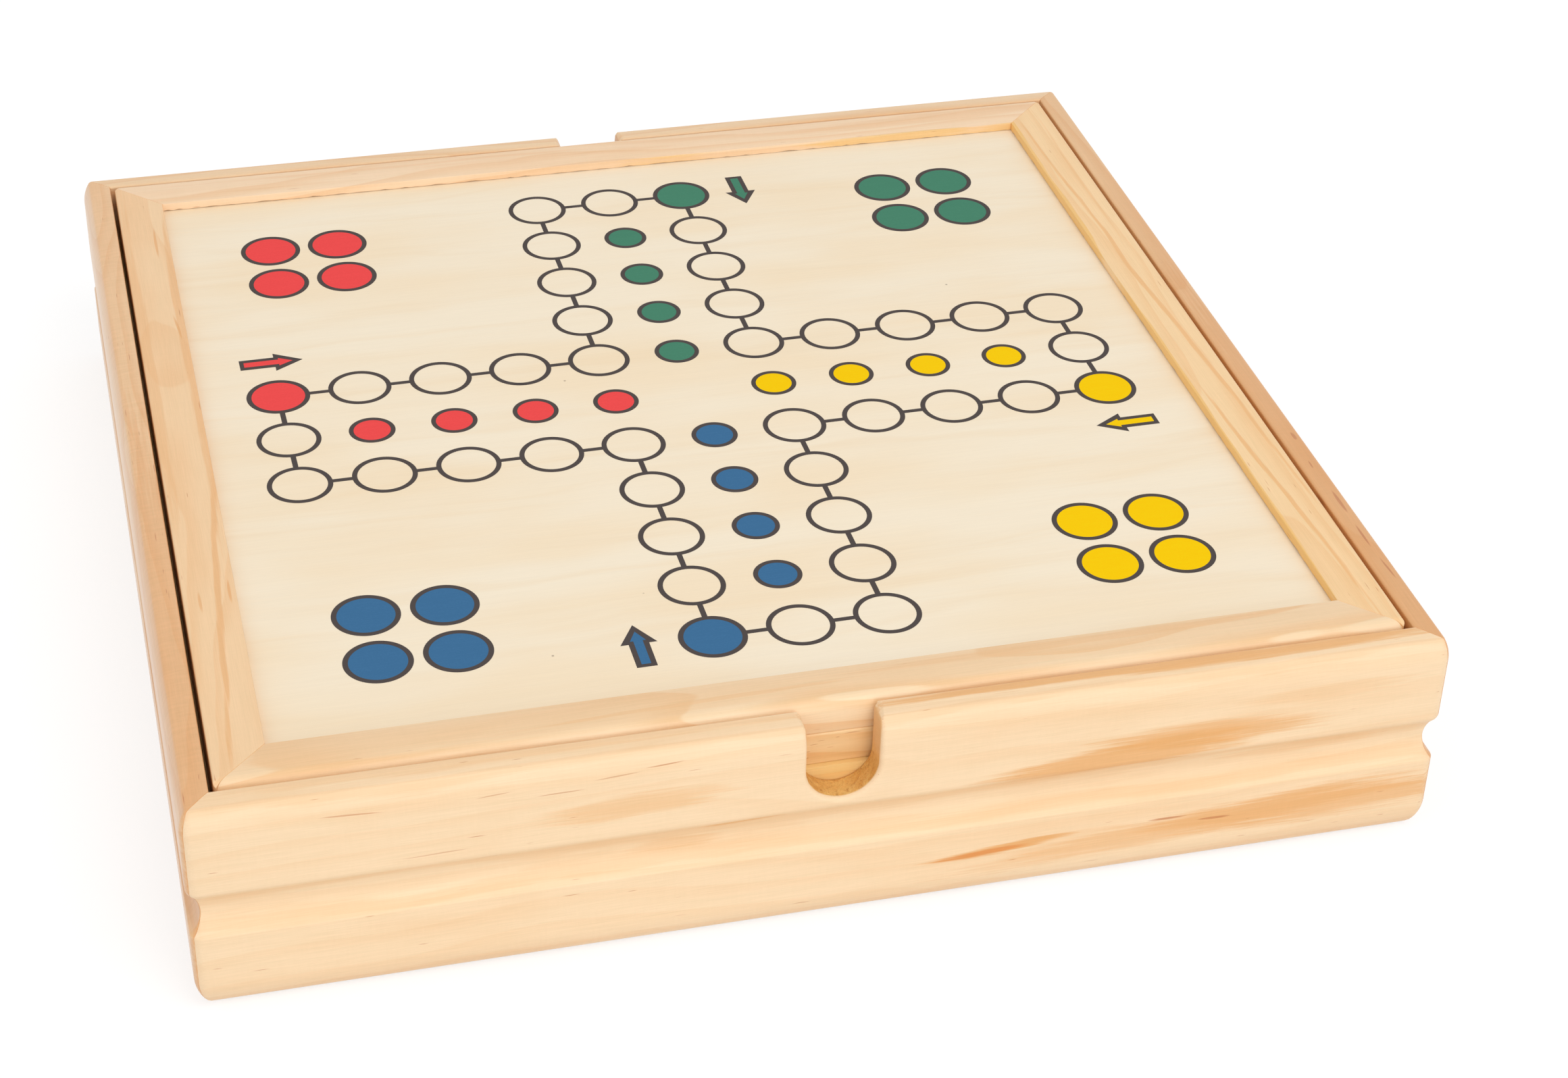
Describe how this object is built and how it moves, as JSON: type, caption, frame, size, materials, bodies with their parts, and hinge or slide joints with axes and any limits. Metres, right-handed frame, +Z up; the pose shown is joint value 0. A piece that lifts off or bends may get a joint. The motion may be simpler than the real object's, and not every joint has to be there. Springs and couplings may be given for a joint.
{
  "type": "wooden board game box with ludo board",
  "caption": "Square wooden game box: a framed ludo board lifts off the chequered board below it, over bins that hold pawns, dice and draughtsmen.",
  "frame": {"origin": "middle of the underside of the box, on the surface it stands on", "axes": "+Z up out of the boards, +X to the right and -Y to the front as seen by a player at the front finger notch"},
  "size_m": [0.307, 0.307, 0.0603],
  "materials": {
    "pine": "clear satin lacquer on pine",
    "plywood": "pale plywood, clear matt lacquer",
    "red_paint": "gloss paint on turned wood",
    "green_paint": "gloss paint on turned wood",
    "yellow_paint": "gloss paint on turned wood",
    "blue_paint": "gloss paint on turned wood",
    "die_white": "polished",
    "light_stain": "satin lacquer on turned wood",
    "dark_stain": "dark stain on turned wood",
    "ink": "printed ink, flush with the board"
  },
  "bodies": {
    "box": {"front_wall": "pine", "back_wall": "pine", "left_wall": "pine", "right_wall": "pine", "base_panel": "plywood", "front_liner": "pine", "back_liner": "pine", "left_liner": "pine", "right_liner": "pine", "left_divider": "pine", "right_divider": "pine", "cross_divider": "pine"},
    "chequer_board": {"chequer_front_rail": "pine", "chequer_back_rail": "pine", "chequer_left_rail": "pine", "chequer_right_rail": "pine", "chequer_panel": "plywood"},
    "ludo_board": {"ludo_front_rail": "pine", "ludo_back_rail": "pine", "ludo_left_rail": "pine", "ludo_right_rail": "pine", "ludo_panel": "plywood"},
    "red_pawns": {"red_pawns": "red_paint"},
    "green_pawns": {"green_pawns": "green_paint"},
    "yellow_pawns": {"yellow_pawns": "yellow_paint"},
    "blue_pawns": {"blue_pawns": "blue_paint"},
    "dice": {"dice": "die_white"},
    "light_draughtsmen": {"light_draughtsmen": "light_stain"},
    "dark_draughtsmen": {"dark_draughtsmen": "dark_stain"}
  },
  "joints": [
    {"name": "chequer_board_lift", "type": "slide", "parent": "box", "child": "chequer_board", "axis": [0, 0, 1], "range_m": [0, 0.15]},
    {"name": "ludo_board_lift", "type": "slide", "parent": "chequer_board", "child": "ludo_board", "axis": [0, 0, 1], "range_m": [0, 0.1]},
    {"name": "red_pawns_lift", "type": "slide", "parent": "box", "child": "red_pawns", "axis": [0, 0, 1], "range_m": [0, 0.018]},
    {"name": "green_pawns_lift", "type": "slide", "parent": "box", "child": "green_pawns", "axis": [0, 0, 1], "range_m": [0, 0.018]},
    {"name": "yellow_pawns_lift", "type": "slide", "parent": "box", "child": "yellow_pawns", "axis": [0, 0, 1], "range_m": [0, 0.018]},
    {"name": "blue_pawns_lift", "type": "slide", "parent": "box", "child": "blue_pawns", "axis": [0, 0, 1], "range_m": [0, 0.018]},
    {"name": "dice_lift", "type": "slide", "parent": "box", "child": "dice", "axis": [0, 0, 1], "range_m": [0, 0.018]},
    {"name": "light_draughtsmen_lift", "type": "slide", "parent": "box", "child": "light_draughtsmen", "axis": [0, 0, 1], "range_m": [0, 0.008]},
    {"name": "dark_draughtsmen_lift", "type": "slide", "parent": "box", "child": "dark_draughtsmen", "axis": [0, 0, 1], "range_m": [0, 0.008]}
  ]
}
